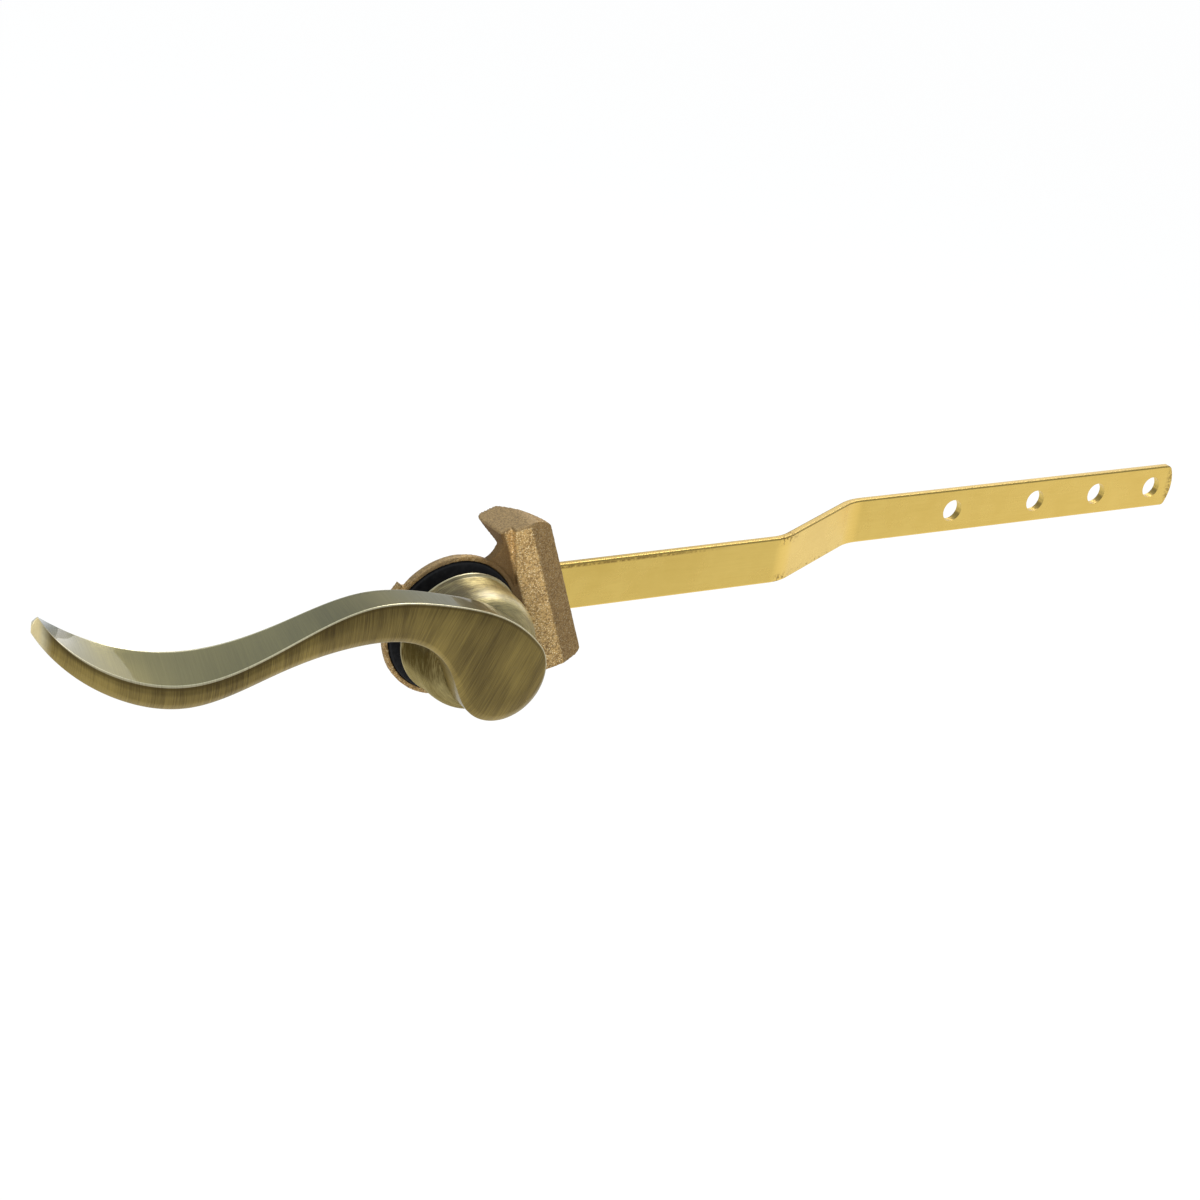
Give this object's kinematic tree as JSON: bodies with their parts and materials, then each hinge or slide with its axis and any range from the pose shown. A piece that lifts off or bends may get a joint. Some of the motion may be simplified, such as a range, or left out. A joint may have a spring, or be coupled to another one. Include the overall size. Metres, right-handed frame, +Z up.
{
  "type": "cistern lever",
  "caption": "Front-mounted cistern flush lever: a wave-shaped hand lever turns in a round escutcheon and lifts a flat, set-back trip arm with chain holes; a cast wing nut clamps it.",
  "frame": {"origin": "on the spindle axis, on the plane of the escutcheon's back rim, which seats on the outer face of the cistern wall", "axes": "+X along the trip arm, +Y from the hand into the cistern along the spindle axis, +Z up"},
  "size_m": [0.371, 0.0546, 0.0461],
  "materials": {
    "antique_brass": "brushed, lacquered",
    "yellow_brass": "satin rolled strip",
    "turned_brass": "turned",
    "cast_bronze": "rough sand cast",
    "black_rubber": "matt",
    "pale_plastic": "matt",
    "screw_steel": "plated"
  },
  "bodies": {
    "tank_fitting": {"escutcheon": "antique_brass", "thrust_washer": "pale_plastic", "seal_washer": "black_rubber", "cup_nut": "cast_bronze"},
    "lever": {"lever_handle": "antique_brass", "spindle": "turned_brass", "grub_screw": "screw_steel", "trip_arm": "yellow_brass", "lock_washer": "screw_steel", "arm_screw": "turned_brass"}
  },
  "joints": [
    {"name": "lever_turn", "type": "hinge", "parent": "tank_fitting", "child": "lever", "pos_m": [0, 0, 0], "axis": [0, -1, 0], "range_deg": [0, 40]}
  ]
}
